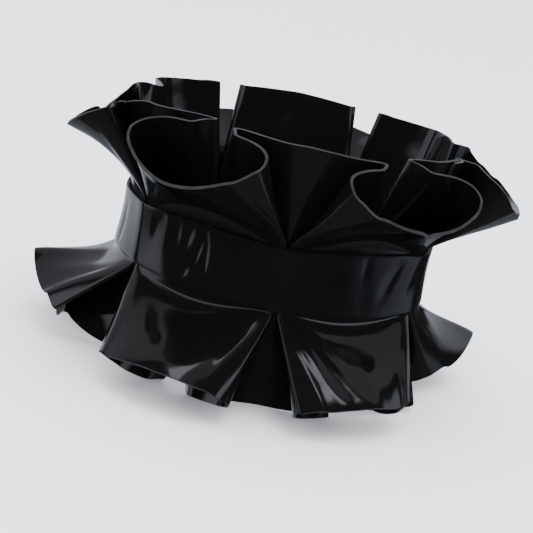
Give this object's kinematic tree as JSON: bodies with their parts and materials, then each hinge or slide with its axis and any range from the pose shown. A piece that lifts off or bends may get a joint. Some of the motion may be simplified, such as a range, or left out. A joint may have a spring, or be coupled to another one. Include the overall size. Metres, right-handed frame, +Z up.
{
  "type": "ruff collar",
  "caption": "Glossy black rubber ruff collar: a faceted neck band between two box-pleated ruffles, one standing up and one hanging, worn closed round an empty neck.",
  "frame": {"origin": "on the neck's axis, at half the height of the neck band", "axes": "+Z up along the neck, -Y the way the wearer faces, +X the wearer's left; the collar closes at the back, on +Y"},
  "size_m": [0.1687, 0.1669, 0.0943],
  "materials": {
    "black_rubber": "polished to a high gloss",
    "nickel": "plain nickel plating"
  },
  "bodies": {
    "root": {"neck_band": "black_rubber", "upper_ruffle_right": "black_rubber", "upper_ruffle_left": "black_rubber", "lower_ruffle_right": "black_rubber", "lower_ruffle_left": "black_rubber", "stud_cap": "nickel", "stud_socket": "nickel"}
  },
  "joints": []
}
